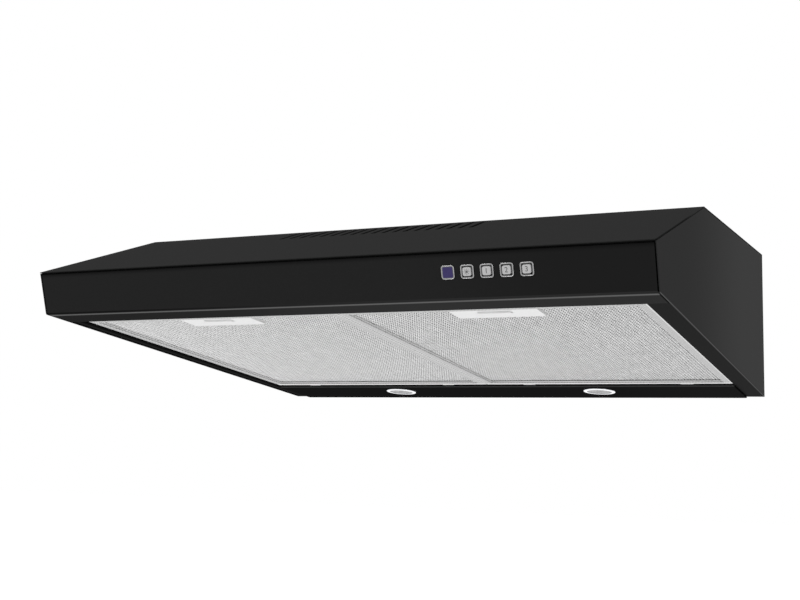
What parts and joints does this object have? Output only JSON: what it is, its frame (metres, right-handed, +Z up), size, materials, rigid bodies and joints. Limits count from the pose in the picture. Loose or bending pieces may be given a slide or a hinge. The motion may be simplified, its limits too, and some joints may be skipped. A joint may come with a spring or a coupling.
{
  "type": "range hood",
  "caption": "Slim range hood for under a wall cabinet: sloped vented visor, square push buttons, drop-down grease filters, rear light bar and a blower with a round duct collar.",
  "frame": {"origin": "centre of the four cabinet screw holes, on the outer face of the flat top", "axes": "+X to the right seen from the front, +Y towards the wall, +Z up"},
  "size_m": [0.6, 0.5, 0.1915],
  "materials": {
    "painted_steel": "gloss black coat",
    "plated_steel": "zinc plated",
    "filter_aluminium": "satin",
    "cast_aluminium": "cast",
    "core_steel": "laminated",
    "copper_wire": "enamelled",
    "bearing_steel": "ground",
    "rotor_metal": "turned",
    "black_plastic": "moulded",
    "grey_plastic": "moulded",
    "white_plastic": "moulded",
    "button_plastic": "smooth",
    "bezel_chrome": "polished",
    "indigo_lens": "tinted",
    "lamp_glass": "frosted",
    "black_rubber": "moulded",
    "spring_steel": "drawn",
    "lead_sleeve": "smooth"
  },
  "bodies": {
    "case": {"top_panel": "painted_steel", "front_panel": "painted_steel", "side_panel_left": "painted_steel", "side_panel_right": "painted_steel", "rear_panel": "painted_steel", "light_bar": "painted_steel", "blower_upper": "grey_plastic", "blower_lower": "grey_plastic", "led_driver": "grey_plastic", "inlet_grille": "black_plastic", "outlet_box": "black_plastic", "air_guide": "black_plastic", "collar": "black_plastic", "damper_seat": "black_plastic", "button_carrier": "black_plastic", "switch_bank": "black_plastic", "lamp_housing_left": "black_plastic", "lamp_housing_right": "black_plastic", "terminal_block": "white_plastic", "capacitor": "white_plastic", "terminal_box": "plated_steel", "terminal_cover": "plated_steel", "case_screws": "plated_steel", "blower_screws": "plated_steel", "blower_bushes": "black_rubber", "cable_grommet": "black_rubber", "stator_core": "core_steel", "stator_windings": "copper_wire", "motor_bracket_upper": "cast_aluminium", "motor_bracket_lower": "cast_aluminium", "motor_bearings": "bearing_steel", "button_bezels": "bezel_chrome", "lamp_bezel_left": "bezel_chrome", "lamp_bezel_right": "bezel_chrome", "indicator_lens": "indigo_lens", "lamp_lens_left": "lamp_glass", "lamp_lens_right": "lamp_glass", "wiring": "lead_sleeve"},
    "fan": {"impeller": "black_plastic", "rotor": "rotor_metal", "shaft": "bearing_steel", "impeller_nut": "plated_steel"},
    "diverter": {"diverter_flap": "black_plastic", "diverter_lever": "black_plastic"},
    "damper_front": {"damper_front": "black_plastic"},
    "damper_rear": {"damper_rear": "black_plastic"},
    "button_light": {"button_light": "button_plastic"},
    "button_speed_1": {"button_speed_1": "button_plastic"},
    "button_speed_2": {"button_speed_2": "button_plastic"},
    "button_speed_3": {"button_speed_3": "button_plastic"},
    "filter_left": {"filter_frame_left": "filter_aluminium", "filter_mesh_left": "filter_aluminium", "filter_handle_left": "filter_aluminium"},
    "latch_left": {"filter_latch_left": "filter_aluminium", "latch_spring_left": "spring_steel"},
    "filter_right": {"filter_frame_right": "filter_aluminium", "filter_mesh_right": "filter_aluminium", "filter_handle_right": "filter_aluminium"},
    "latch_right": {"filter_latch_right": "filter_aluminium", "latch_spring_right": "spring_steel"}
  },
  "joints": [
    {"name": "fan_spin", "type": "hinge", "parent": "case", "child": "fan", "pos_m": [-0.15435, -0.02, 0], "axis": [0, 0, 1], "continuous": true},
    {"name": "diverter_swing", "type": "hinge", "parent": "case", "child": "diverter", "pos_m": [0, 0.0155, -0.0088], "axis": [1, 0, 0], "range_deg": [0, 90]},
    {"name": "damper_front_swing", "type": "hinge", "parent": "case", "child": "damper_front", "pos_m": [0, 0.065, 0.008], "axis": [-1, 0, 0], "range_deg": [0, 75]},
    {"name": "damper_rear_swing", "type": "hinge", "parent": "case", "child": "damper_rear", "pos_m": [0, 0.075, 0.008], "axis": [1, 0, 0], "range_deg": [0, 75]},
    {"name": "button_light_push", "type": "slide", "parent": "case", "child": "button_light", "axis": [0, 0.964, 0.2658], "range_m": [0, 0.0025], "stiffness_N_per_m": 300},
    {"name": "button_speed_1_push", "type": "slide", "parent": "case", "child": "button_speed_1", "axis": [0, 0.964, 0.2658], "range_m": [0, 0.0025], "stiffness_N_per_m": 300},
    {"name": "button_speed_2_push", "type": "slide", "parent": "case", "child": "button_speed_2", "axis": [0, 0.964, 0.2658], "range_m": [0, 0.0025], "stiffness_N_per_m": 300},
    {"name": "button_speed_3_push", "type": "slide", "parent": "case", "child": "button_speed_3", "axis": [0, 0.964, 0.2658], "range_m": [0, 0.0025], "stiffness_N_per_m": 300},
    {"name": "filter_left_drop", "type": "hinge", "parent": "case", "child": "filter_left", "pos_m": [0, 0.08314, -0.14768], "axis": [1, 0, 0], "range_deg": [0, 60]},
    {"name": "latch_left_pull", "type": "slide", "parent": "filter_left", "child": "latch_left", "axis": [0, 0.9915, -0.1304], "range_m": [0, 0.006], "stiffness_N_per_m": 400},
    {"name": "filter_right_drop", "type": "hinge", "parent": "case", "child": "filter_right", "pos_m": [0, 0.08314, -0.14768], "axis": [1, 0, 0], "range_deg": [0, 60]},
    {"name": "latch_right_pull", "type": "slide", "parent": "filter_right", "child": "latch_right", "axis": [0, 0.9915, -0.1304], "range_m": [0, 0.006], "stiffness_N_per_m": 400}
  ]
}
